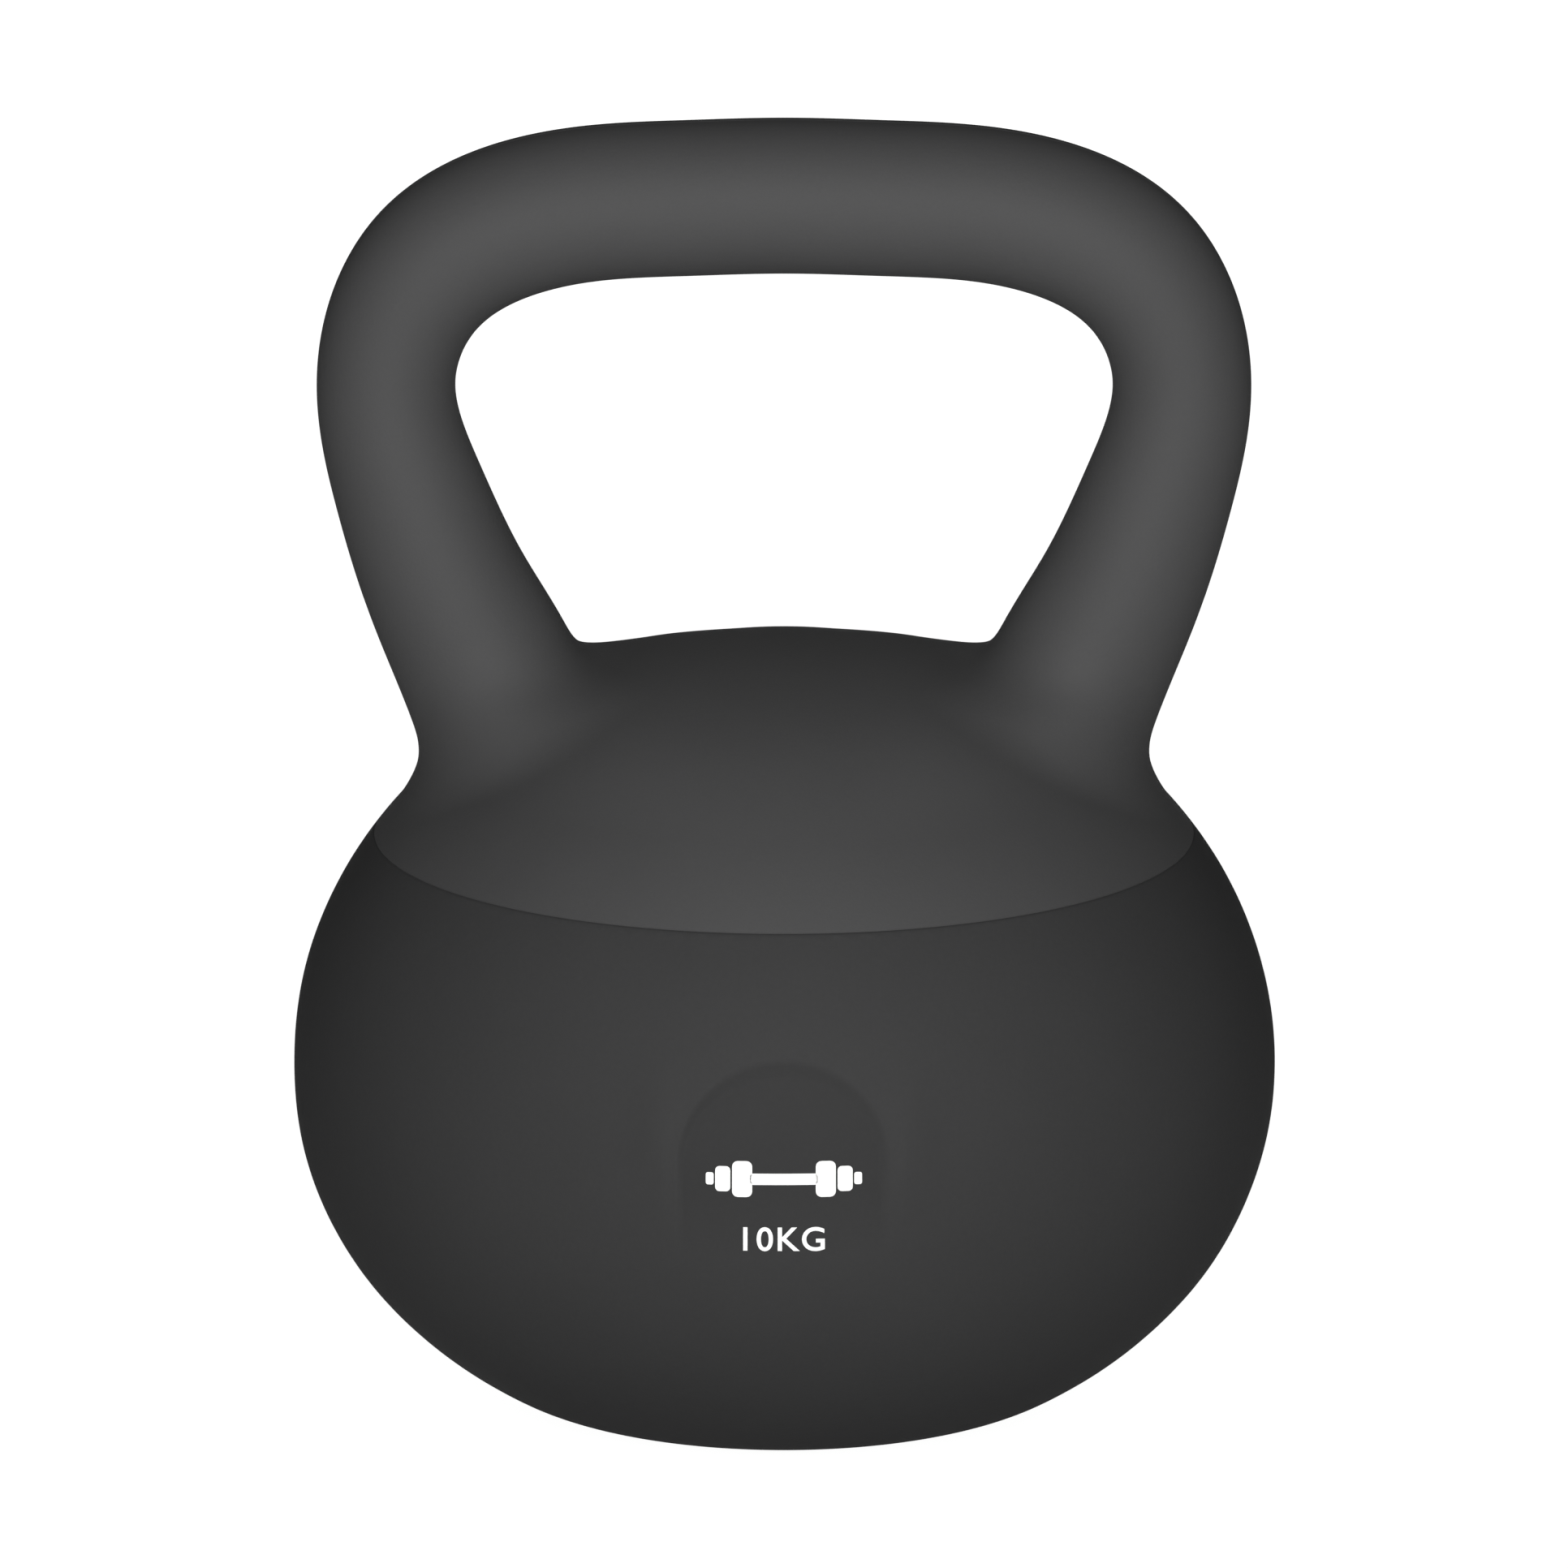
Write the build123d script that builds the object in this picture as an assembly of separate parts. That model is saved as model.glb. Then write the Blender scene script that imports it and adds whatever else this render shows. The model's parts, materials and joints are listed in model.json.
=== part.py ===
from build123d import *

import math
import os

# A soft 10 kg kettlebell: a stiff handle-and-shoulder moulding on a soft ball of iron sand.
# Millimetres, +Z up, origin at the middle of the flat base, printed front towards -Y.

# The whole
overall_height = 280.0
ball_diameter = 208.0
equator_height = 75.5
crown_rise = 89.5  # from the equator to the top of the shoulder, an ellipse
belly_drop = 83.0  # from the equator to where the lower curve would close
belly_power = 2.1  # 2 is an ellipse, and more is fuller
base_corner = 20.0
outline_steps = 8  # along each curve of the ball's outline
closed_gap = 0.001  # a radius this small counts as closed
seam_rise = 49.0  # from the equator to the joint of shoulder and ball

# Handle
handle_width = 197.4
grip_diameter = 33.0
elbow_diameter = 32.0
waist_diameter = 29.2  # where the handle is widest across
shin_diameter = 31.2
post_diameter = 34.2
root_diameter = 39.0
root_spacing = 114.0
root_fillet = 6.5
handle_sections = 24  # round sections along each half
grip_course = [(0, 0), (0.25, 0.004), (0.535, 0.017), (0.887, 0.118), (1, 0.297)]  # shares out, down
post_course = [(0.815, 0.52), (0.493, 0.357), (0.19, 0.23), (0, 0.09), (0, 0)]  # shares out, up

# Shoulder, and the joint to the ball
shoulder_wall = 4.0
rim_wall = 5.0
rim_ease = 0.5  # the small chamfer that shows as the joint line
mouth_clearance = 5.0  # round the ends of the anchor plate
tongue_inset = 3.0  # from the mouth to the middle of the tongue
tongue_width = 3.0
tongue_height = 2.5
tongue_clearance = 0.15
ring_wall = 3.0
ring_depth = 12.0

# Steel inside the handle
core_diameter = 14.0
plate_thickness = 5.0
plate_width = 36.0
plate_end = 14.0  # from a leg's centre to the end of the plate
plate_corner = 12.0
leg_clearance = 0.3
washer_diameter = 28.0
washer_thickness = 2.5
nut_across_flats = 21.0
nut_height = 11.0
nut_ease_height = 2.5  # how far up each corner the lower chamfer runs
leg_past_nut = 4.0

# Ball skin, the recess in its front, and the filling port in its base
skin_wall = 4.0
base_wall = 6.0
recess_diameter = 44.0
recess_rim_setback = 3.2  # from the front of the ball back to the recess's rim
recess_cut_depth = 8.0
recess_above_equator = 2.0
recess_inward = 0.8  # the floor is the ball's surface moved in and down by these
recess_downward = 2.8
port_diameter = 30.0
port_neck_wall = 6.0
port_neck_height = 13.0
plug_flange_diameter = 40.0
plug_flange_thickness = 2.5
plug_step_up = 0.8  # the flange sits this far above the floor
plug_bead_diameter = 34.0
plug_bead_height = 4.0
plug_bore = 18.0
plug_floor = 4.5  # from the underside of the bung to the end of its bore
plug_washer_thickness = 1.5
plug_clearance = 0.15

ball_radius = ball_diameter / 2
crown_top = equator_height + crown_rise
seam_height = equator_height + seam_rise
grip_centre = overall_height - grip_diameter / 2
plate_top = seam_height + rim_wall
plate_bottom = plate_top - plate_thickness
washer_bottom = plate_bottom - washer_thickness
nut_bottom = washer_bottom - nut_height
leg_end = nut_bottom - leg_past_nut
root_half = root_spacing / 2
plate_length = root_spacing + 2 * plate_end
mouth_diameter = plate_length + 2 * mouth_clearance
ring_bottom = seam_height - ring_depth
flange_top = plug_step_up + plug_flange_thickness
port_seat = flange_top + plug_washer_thickness
bead_top = port_neck_height + plug_bead_height
throat_bottom = seam_height - ring_wall


def surface_radius(height, inset=0.0):
    """Radius of the ball's surface at a height, or of a copy of it some way inside."""
    above = height - equator_height
    if above >= 0:
        share, power = above / (crown_rise - inset), 2.0
    else:
        share, power = -above / (belly_drop - inset), belly_power
    return (ball_radius - inset) * max(0.0, 1 - share**power) ** (1 / power)


def ball_side(low, high, inset):
    """The ball's outline from one height to another, a curve on each side of the equator."""
    bends = [low, high] if not low < equator_height < high else [low, equator_height, high]
    pieces = []
    for start, end in zip(bends[:-1], bends[1:]):
        reach = crown_rise - inset if end > equator_height else belly_drop - inset
        angles = [
            math.asin(max(-1.0, min(1.0, (edge - equator_height) / reach))) for edge in (start, end)
        ]
        step = (angles[1] - angles[0]) / outline_steps
        turns = [angles[0] + step * i for i in range(outline_steps + 1)]
        heights = [equator_height + reach * math.sin(turn) for turn in turns]
        pieces.append(Spline([(surface_radius(h, inset), 0, h) for h in heights]))
    return pieces


def ball_solid(low, high, inset=0.0):
    """The solid of revolution inside the ball's surface, between two heights."""
    sides = ball_side(low, high, inset)
    outline = [Line((0, 0, low), sides[0] @ 0)] + sides
    if (sides[-1] @ 1).X > closed_gap:
        outline.append(Line(sides[-1] @ 1, (0, 0, high)))
    outline.append(Line((0, 0, high), (0, 0, low)))
    return revolve(make_face(Wire(outline)), Axis.Z)


def disc(diameter, bottom, top, x=0.0):
    """An upright cylinder between two heights."""
    return Pos(x, 0, bottom) * Cylinder(
        diameter / 2, top - bottom, align=(Align.CENTER, Align.CENTER, Align.MIN)
    )


def handle_stations():
    """Half of the handle, from mid-grip down: (x, height, diameter) where it changes course."""
    reach = (handle_width - waist_diameter) / 2
    rise = grip_centre - plate_top
    lean = reach - root_half
    places = [(out * reach, grip_centre - down * rise) for out, down in grip_course]
    places += [(root_half + out * lean, plate_top + up * rise) for out, up in post_course]
    grip = [grip_diameter, grip_diameter, grip_diameter, elbow_diameter, waist_diameter]
    post = [shin_diameter, post_diameter, root_diameter, root_diameter, root_diameter]
    return [(x, height, diameter) for (x, height), diameter in zip(places, grip + post)]


def handle_path():
    """Half of the handle's centreline, level at mid-grip and upright where it enters the shoulder."""
    points = [(x, 0, height) for x, height, _ in handle_stations()]
    return Spline(points, tangents=[(1, 0, 0), (0, 0, -1)])


def both_sides(half):
    """A half that ends on the middle plane, joined to its mirror image."""
    return half + mirror(half, Plane.YZ)


def eased(share, marks):
    """The value at a share of the way, easing from each (share, value) mark to the next."""
    for (start, first), (end, last) in zip(marks[:-1], marks[1:]):
        if share < end:
            part = (share - start) / (end - start)
            return first + (last - first) * part * part * (3 - 2 * part)
    return marks[-1][1]


def handle_bar():
    """The outside of the handle, a round bar that swells towards both roots."""
    path = handle_path()
    marks = [
        (path.param_at_point((x, 0, height)), diameter) for x, height, diameter in handle_stations()
    ]
    rounds = []
    for i in range(handle_sections + 1):
        share = i / handle_sections
        across = Plane(origin=path @ share, x_dir=(0, 1, 0), z_dir=path % share)
        rounds.append(across * Circle(eased(share, marks) / 2))
    return both_sides(loft(rounds))


def handle_core():
    """The bent steel rod, from one threaded leg end to the other."""
    path = handle_path()
    bend = sweep(Plane(origin=path @ 0, z_dir=path % 0) * Circle(core_diameter / 2), path)
    leg = disc(core_diameter, leg_end, plate_top, root_half)
    return both_sides(bend + leg)


def on_legs(piece):
    """A piece that sits on each leg, as one group."""
    return Part() + [Pos(side * root_half, 0, 0) * piece for side in (-1, 1)]


def shoulder_hollow(bar):
    """The room under the shoulder, round the handle's roots."""
    return ball_solid(plate_top, crown_top - shoulder_wall, shoulder_wall) - bar


def upper_moulding(bar, hollow, core):
    """Handle and shoulder in one piece, hollow under the shoulder and moulded round the core."""
    dome = ball_solid(seam_height, crown_top)
    outside = dome + bar
    outside = fillet(new_edges(dome, bar, combined=outside), root_fillet)
    outside = chamfer(outside.edges().filter_by(GeomType.CIRCLE).sort_by(Axis.Z)[0], rim_ease)
    mouth = disc(mouth_diameter, seam_height, plate_top)
    groove_depth = tongue_height + tongue_clearance
    groove = tongue(tongue_clearance, seam_height, seam_height + groove_depth)
    return outside - hollow - mouth - groove - core


def tongue(clearance, bottom, top):
    """The upright rib of the joint ring, or the groove for it when given a clearance."""
    middle = mouth_diameter + 2 * tongue_inset
    outer = disc(middle + tongue_width + 2 * clearance, bottom, top)
    return outer - disc(middle - tongue_width - 2 * clearance, bottom, top)


def ball_room():
    """The room inside the skin, below the joint ring."""
    return ball_solid(base_wall, ring_bottom, skin_wall)


def ring_band():
    """What the joint ring reaches out to: the room inside the skin's mouth."""
    return ball_solid(ring_bottom, seam_height, skin_wall)


def ring_inside():
    """The room inside the joint ring, below its throat."""
    return ball_solid(ring_bottom, throat_bottom, skin_wall + ring_wall)


def joint_ring():
    """The stiff ring bonded behind the ball's mouth, with a rib that locates the shoulder."""
    throat = disc(mouth_diameter, throat_bottom, seam_height)
    return ring_band() - ring_inside() - throat + tongue(0, seam_height, seam_height + tongue_height)


def anchor_plate():
    """The steel bar that clamps the handle's roots, with a hole for each leg."""
    blank = Box(
        plate_length, plate_width, plate_thickness, align=(Align.CENTER, Align.CENTER, Align.MAX)
    )
    blank = fillet(blank.edges().filter_by(Axis.Z), plate_corner)
    hole = disc(core_diameter + 2 * leg_clearance, plate_bottom, plate_top)
    return Pos(0, 0, plate_top) * blank - on_legs(hole)


def core_washers():
    """A flat washer under the plate on each leg."""
    flat = disc(washer_diameter, washer_bottom, plate_bottom)
    return on_legs(flat - disc(core_diameter + 2 * leg_clearance, washer_bottom, plate_bottom))


def core_nuts():
    """A hexagon nut on each leg, with its lower corners eased."""
    hexagon = RegularPolygon(nut_across_flats / 2, 6, major_radius=False)
    nut = Pos(0, 0, nut_bottom) * extrude(hexagon, nut_height)
    flat = nut_across_flats / 2
    overhang = flat / math.cos(math.pi / 6) - flat
    cone_top = flat + overhang * nut_height / nut_ease_height
    cone = Cone(flat, cone_top, nut_height, align=(Align.CENTER, Align.CENTER, Align.MIN))
    nut = nut & Pos(0, 0, nut_bottom) * cone
    return on_legs(nut - disc(core_diameter, nut_bottom, washer_bottom))


def recess_cutter():
    """A shallow round recess in the front, deepest at its top and fading out at its bottom."""
    inner_radius = recess_diameter / 2 + recess_rim_setback - recess_cut_depth
    length = recess_cut_depth + recess_rim_setback
    round_cut = Cone(
        inner_radius, inner_radius + length, length, align=(Align.CENTER, Align.CENTER, Align.MIN)
    )
    start = Pos(0, recess_cut_depth - ball_radius, equator_height + recess_above_equator)
    floor = Pos(0, recess_inward, -recess_downward) * ball_solid(0, seam_height)
    return start * Rot(90, 0, 0) * round_cut - floor


def port_neck():
    """The thick ring of skin that stands up inside round the filling port."""
    return disc(port_diameter + 2 * port_neck_wall, base_wall, port_neck_height)


def ball_skin():
    """The soft skin: a flat base with a filling port, an open mouth, a recess in the front."""
    outside = ball_solid(0, seam_height)
    outside = fillet(outside.edges().sort_by(Axis.Z)[0], base_corner)
    inside = ball_room() + ring_band()
    neck = port_neck()
    seat = disc(plug_flange_diameter + 2 * plug_clearance, 0, port_seat)
    port = disc(port_diameter, port_seat, port_neck_height)
    return outside - inside + neck - seat - port - recess_cutter()


def fill_plug():
    """The bung of the filling port: a flange below, a hollow stem, and a bead that holds it in."""
    flange = disc(plug_flange_diameter, plug_step_up, flange_top)
    stem = disc(port_diameter, flange_top, port_neck_height)
    bead = disc(plug_bead_diameter, port_neck_height, bead_top)
    bead = chamfer(bead.edges().sort_by(Axis.Z)[-1], plug_bead_height / 2)
    bore = disc(plug_bore, plug_step_up + plug_floor, bead_top)
    return flange + stem + bead - bore


def plug_washer():
    """The soft sealing ring between the bung's flange and the skin."""
    ring = disc(plug_flange_diameter, flange_top, port_seat)
    return ring - disc(port_diameter, flange_top, port_seat)


def leg_holes():
    """The holes that the core's legs pass through below the handle's roots."""
    return on_legs(disc(core_diameter + 2 * leg_clearance, leg_end, plate_top))


def cut_round(bulk, pieces):
    """A filling, cut round the leg holes and each piece that stands in it."""
    for piece in [leg_holes()] + pieces:
        bulk = bulk - piece
    return bulk


def iron_sand(pieces):
    """The sand, which takes the inner shape of the skin and, above that, of the joint ring."""
    return cut_round(ball_room() + ring_inside(), pieces)


def packing_foam(hollow, pieces):
    """The foam that fills the room between the sand and the shoulder."""
    return cut_round(hollow + disc(mouth_diameter, throat_bottom, plate_top), pieces)


def build():
    """Every piece of the kettlebell, by name."""
    core = handle_core()
    bar = handle_bar()
    hollow = shoulder_hollow(bar)
    plate = anchor_plate()
    ring = joint_ring()
    washers = core_washers()
    nuts = core_nuts()
    plug = fill_plug()
    return {
        "handle_and_shoulder": upper_moulding(bar, hollow, core),
        "handle_core": core,
        "anchor_plate": plate,
        "core_washers": washers,
        "core_nuts": nuts,
        "joint_ring": ring,
        "packing_foam": packing_foam(hollow, [plate, washers, nuts]),
        "ball_skin": ball_skin(),
        "iron_sand": iron_sand([nuts, port_neck(), plug]),
        "fill_plug": plug,
        "plug_washer": plug_washer(),
    }


os.makedirs("parts", exist_ok=True)
for name, piece in build().items():
    export_step(piece, f"parts/{name}.step")
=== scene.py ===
import json
import math

import bmesh
import bpy
import numpy as np
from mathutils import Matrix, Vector

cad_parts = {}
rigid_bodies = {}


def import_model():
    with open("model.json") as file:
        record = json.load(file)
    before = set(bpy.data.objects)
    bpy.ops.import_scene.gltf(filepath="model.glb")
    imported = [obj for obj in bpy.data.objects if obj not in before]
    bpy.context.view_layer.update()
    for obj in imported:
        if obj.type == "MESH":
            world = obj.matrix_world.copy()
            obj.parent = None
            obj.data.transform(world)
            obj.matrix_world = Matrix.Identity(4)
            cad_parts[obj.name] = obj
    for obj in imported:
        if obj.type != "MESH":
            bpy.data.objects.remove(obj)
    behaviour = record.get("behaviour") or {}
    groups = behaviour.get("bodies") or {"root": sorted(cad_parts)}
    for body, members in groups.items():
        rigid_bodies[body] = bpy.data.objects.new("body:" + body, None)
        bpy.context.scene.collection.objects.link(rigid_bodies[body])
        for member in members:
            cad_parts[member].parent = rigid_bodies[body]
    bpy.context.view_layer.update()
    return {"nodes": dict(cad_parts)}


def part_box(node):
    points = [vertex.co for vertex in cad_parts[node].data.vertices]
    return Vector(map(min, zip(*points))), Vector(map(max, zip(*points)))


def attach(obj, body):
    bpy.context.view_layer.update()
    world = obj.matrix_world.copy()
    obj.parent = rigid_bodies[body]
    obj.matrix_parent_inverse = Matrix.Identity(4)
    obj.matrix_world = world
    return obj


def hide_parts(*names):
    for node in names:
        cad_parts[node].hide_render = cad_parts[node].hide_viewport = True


for leftover in list(bpy.data.objects):
    bpy.data.objects.remove(leftover)

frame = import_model()
mm = 0.001
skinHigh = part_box("ball_skin")[1]
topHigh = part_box("handle_and_shoulder")[1]
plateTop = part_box("anchor_plate")[1].z
seamHeight = skinHigh.z
ballRadius = skinHigh.x
print("frame loaded:", len(frame["nodes"]), "nodes")


def newObject(name, mesh):
    thing = bpy.data.objects.new(name, mesh)
    bpy.context.scene.collection.objects.link(thing)
    return thing


def dropObject(thing):
    data = thing.data
    bpy.data.objects.remove(thing)
    if isinstance(data, bpy.types.Mesh):
        bpy.data.meshes.remove(data)
    elif isinstance(data, bpy.types.Curve):
        bpy.data.curves.remove(data)


def meshFrom(name, points, faces):
    mesh = bpy.data.meshes.new(name)
    mesh.from_pydata([tuple(p) for p in points], [], [tuple(f) for f in faces])
    mesh.update()
    return mesh


def frozen(thing, name):
    # the object as its modifiers leave it, as a plain mesh
    graph = bpy.context.evaluated_depsgraph_get()
    mesh = bpy.data.meshes.new_from_object(thing.evaluated_get(graph), depsgraph=graph)
    mesh.name = name
    return mesh


def readPoints(mesh):
    flat = np.empty(len(mesh.vertices) * 3)
    mesh.vertices.foreach_get("co", flat)
    return flat.reshape(-1, 3)


def writePoints(mesh, points):
    mesh.vertices.foreach_set("co", points.ravel())
    mesh.update()


def inFixedOrder(mesh):
    # numbers a mesh's points and faces by place, because cuts leave them in another order each run
    points = readPoints(mesh)
    order = np.lexsort(points.T)
    rank = np.empty(len(points), int)
    rank[order] = np.arange(len(points))
    faces = []
    for face in mesh.polygons:
        corners = [int(rank[i]) for i in face.vertices]
        first = corners.index(min(corners))
        faces.append(corners[first:] + corners[:first])
    mesh.clear_geometry()
    mesh.from_pydata(points[order].tolist(), [], sorted(faces))
    mesh.update()


def smoothShade(mesh, sharpDegrees):
    mesh.shade_smooth()
    mesh.set_sharp_from_angle(angle=math.radians(sharpDegrees))


def finishPiece(thing, nodeNames=()):
    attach(thing, "root")
    if nodeNames:
        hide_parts(*nodeNames)


# the shapes that the outer pieces follow
ballShape = {
    "equatorHeight": 75.5 * mm,
    "crownRise": 89.5 * mm,
    "bellyDrop": 83.0 * mm,
    "bellyPower": 2.1,
    "baseSoftness": 7.0 * mm,  # how widely the belly rolls into the flat base
}

# half of the handle, from mid-grip down: (across, height, thickness)
handleShape = {
    "waist": 29.2 * mm,
    "grip": 33.0 * mm,
    "elbow": 32.0 * mm,
    "shin": 31.9 * mm,
    "post": 35.2 * mm,
    "foot": 38.0 * mm,
    "root": 39.0 * mm,
    "rootAcross": 57.0 * mm,
    "sideBlend": 9.0 * mm,  # how widely the posts flow into the shoulder, at their sides
    "frontBlend": 24.0 * mm,  # and at their fronts and backs
    "crownLift": 1.2 * mm,  # the shoulder is a little fuller between the posts
    "rootLift": 1.6 * mm,  # and fuller again beside the posts
    "liftAcross": (8 * mm, 38 * mm),
    "liftFadeAcross": (90 * mm, 70 * mm),
    "liftFadeUp": (140 * mm, 160 * mm),
    "blendDeep": (0 * mm, 30 * mm),
    "blendUp": (126 * mm, 158 * mm),  # the front blend is gone before the joint line
    "linePoints": 260,
    "gridStep": 1.0 * mm,
}


def handleStations():
    s = handleShape
    reach = topHigh.x - s["waist"] / 2
    gripHeight = topHigh.z - s["grip"] / 2
    rise = gripHeight - plateTop
    lean = reach - s["rootAcross"]
    return [
        (0, gripHeight, s["grip"]),
        (0.25 * reach, gripHeight - 0.004 * rise, s["grip"]),
        (0.535 * reach, gripHeight - 0.017 * rise, s["grip"]),
        (0.887 * reach, gripHeight - 0.118 * rise, s["elbow"]),
        (reach, gripHeight - 0.297 * rise, s["waist"]),
        (s["rootAcross"] + 0.815 * lean, plateTop + 0.52 * rise, s["shin"]),
        (s["rootAcross"] + 0.507 * lean, plateTop + 0.357 * rise, s["post"]),
        (s["rootAcross"] + 0.205 * lean, plateTop + 0.23 * rise, s["foot"]),
        (s["rootAcross"], plateTop + 0.09 * rise, s["root"]),
        (s["rootAcross"], plateTop, s["root"]),
    ]


def smoothLine(points, startWay, endWay, count):
    # a cubic through the points with set directions at its ends
    points = np.array(points, float)
    gaps = np.linalg.norm(np.diff(points, axis=0), axis=1)
    knots = np.concatenate([[0], np.cumsum(gaps)])
    last = len(points) - 1
    system = np.eye(last + 1)
    right = np.zeros_like(points)
    right[0], right[last] = startWay, endWay
    for i in range(1, last):
        before, after = gaps[i - 1], gaps[i]
        system[i, i - 1 : i + 2] = after, 2 * (before + after), before
        right[i] = 3 * (
            before * (points[i + 1] - points[i]) / after + after * (points[i] - points[i - 1]) / before
        )
    slopes = np.linalg.solve(system, right)
    where = np.linspace(0, knots[-1], count)
    span = np.clip(np.searchsorted(knots, where, side="right") - 1, 0, last - 1)
    t = ((where - knots[span]) / gaps[span])[:, None]
    g = gaps[span][:, None]
    line = (
        (2 * t**3 - 3 * t**2 + 1) * points[span]
        + (t**3 - 2 * t**2 + t) * g * slopes[span]
        + (3 * t**2 - 2 * t**3) * points[span + 1]
        + (t**3 - t**2) * g * slopes[span + 1]
    )
    return line


def handleLine(count):
    # the handle's right half: points (across, height) and the radius at each
    line = smoothLine(handleStations(), (1, 0, 0), (0, -1, 0), count)
    return line[:, :2], line[:, 2] / 2


lineHalf, radiusHalf = handleLine(handleShape["linePoints"])


def nearestOnGrid():
    # the handle line's nearest segment to each place on a coarse grid
    across = np.arange(0, 0.13, handleShape["gridStep"])
    heights = np.arange(0, 0.30, handleShape["gridStep"])
    middles = (lineHalf[1:] + lineHalf[:-1]) / 2
    gapAcross = (across[:, None] - middles[None, :, 0]) ** 2
    gapUp = (heights[:, None] - middles[None, :, 1]) ** 2
    return np.array([(row[None] + gapUp).argmin(1) for row in gapAcross])


nearGrid = nearestOnGrid()


def barField(points):
    # how far each point is outside the handle's bar, and which way is out
    x, y, z = np.abs(points[:, 0]), points[:, 1], points[:, 2]
    step = np.diff(lineHalf, axis=0)
    length2 = (step**2).sum(1)
    row = np.clip((x / handleShape["gridStep"]).astype(int), 0, nearGrid.shape[0] - 1)
    column = np.clip((z / handleShape["gridStep"]).astype(int), 0, nearGrid.shape[1] - 1)
    first = nearGrid[row, column]
    best = np.full(len(points), np.inf)
    footX, footZ, radius = np.zeros(len(points)), np.zeros(len(points)), np.zeros(len(points))
    for shift in range(-4, 5):
        k = np.clip(first + shift, 0, len(step) - 1)
        dx, dz = x - lineHalf[k, 0], z - lineHalf[k, 1]
        t = np.clip((dx * step[k, 0] + dz * step[k, 1]) / length2[k], 0, 1)
        gap = (dx - t * step[k, 0]) ** 2 + (dz - t * step[k, 1]) ** 2
        closer = gap < best
        best = np.where(closer, gap, best)
        footX = np.where(closer, lineHalf[k, 0] + t * step[k, 0], footX)
        footZ = np.where(closer, lineHalf[k, 1] + t * step[k, 1], footZ)
        radius = np.where(closer, radiusHalf[k] + t * (radiusHalf[k + 1] - radiusHalf[k]), radius)
    away = np.stack([(x - footX) * np.where(points[:, 0] < 0, -1, 1), y, z - footZ], axis=1)
    size = np.linalg.norm(away, axis=1)
    return size - radius, away / np.maximum(size, 1e-9)[:, None]


def ballField(points):
    # the same for the ball
    s = ballShape
    up = points[:, 2] - s["equatorHeight"]
    power = np.where(up > 0, 2.0, s["bellyPower"])
    tall = np.where(up > 0, s["crownRise"], s["bellyDrop"])
    wide = ballRadius
    flat = np.maximum(np.hypot(points[:, 0], points[:, 1]), 1e-9)
    value = (flat / wide) ** power + (np.abs(up) / tall) ** power - 1
    slopeFlat = power / wide * (flat / wide) ** (power - 1)
    slopeUp = power / tall * (np.abs(up) / tall) ** (power - 1) * np.sign(up)
    out = np.stack([points[:, 0] / flat * slopeFlat, points[:, 1] / flat * slopeFlat, slopeUp], axis=1)
    size = np.maximum(np.linalg.norm(out, axis=1), 1e-9)
    return value / size, out / size[:, None]


def blended(first, second, width):
    # two fields joined by a fillet-like blend of that width
    share = np.clip(0.5 + 0.5 * (second[0] - first[0]) / width, 0, 1)
    distance = second[0] + (first[0] - second[0]) * share - width * share * (1 - share)
    out = second[1] + (first[1] - second[1]) * share[:, None]
    return distance, out


def eased(value, start, end):
    share = np.clip((value - start) / (end - start), 0, 1)
    return share * share * (3 - 2 * share)


def upperField(points):
    s = handleShape
    across, deep = np.abs(points[:, 0]), np.abs(points[:, 1])
    distance, out = ballField(points)
    lift = s["crownLift"] + s["rootLift"] * eased(across, *s["liftAcross"])
    lift = lift * eased(points[:, 2], *s["liftFadeUp"]) * eased(across, *s["liftFadeAcross"])
    wide = eased(deep, *s["blendDeep"]) * eased(points[:, 2], *s["blendUp"])
    width = s["sideBlend"] + (s["frontBlend"] - s["sideBlend"]) * wide
    return blended(barField(points), (distance - lift, out), width)


def baseField(points):
    return -points[:, 2], np.tile((0.0, 0.0, -1.0), (len(points), 1))


def skinField(points):
    # the belly, rolled softly into the flat base
    ball, base = ballField(points), baseField(points)
    flipped = blended((-ball[0], -ball[1]), (-base[0], -base[1]), ballShape["baseSoftness"])
    return -flipped[0], -flipped[1]


def settle(points, field, rounds):
    # moves each point onto a field's surface
    for _ in range(rounds):
        distance, out = field(points)
        points = points - (distance / np.maximum((out**2).sum(1), 0.2))[:, None] * out
    return points


def relaxed(mesh, points, rounds, amount, keep):
    # evens out a mesh's points along its edges, apart from those to keep
    edges = np.empty(len(mesh.edges) * 2, int)
    mesh.edges.foreach_get("vertices", edges)
    a, b = edges.reshape(-1, 2).T
    count = np.bincount(np.concatenate([a, b]), minlength=len(points))[:, None]
    for _ in range(rounds):
        total = np.zeros_like(points)
        for axis in range(3):
            total[:, axis] = np.bincount(a, points[b, axis], len(points)) + np.bincount(
                b, points[a, axis], len(points)
            )
        step = amount * (total / np.maximum(count, 1) - points)
        step[keep] = 0
        points = points + step
    return points


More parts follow.
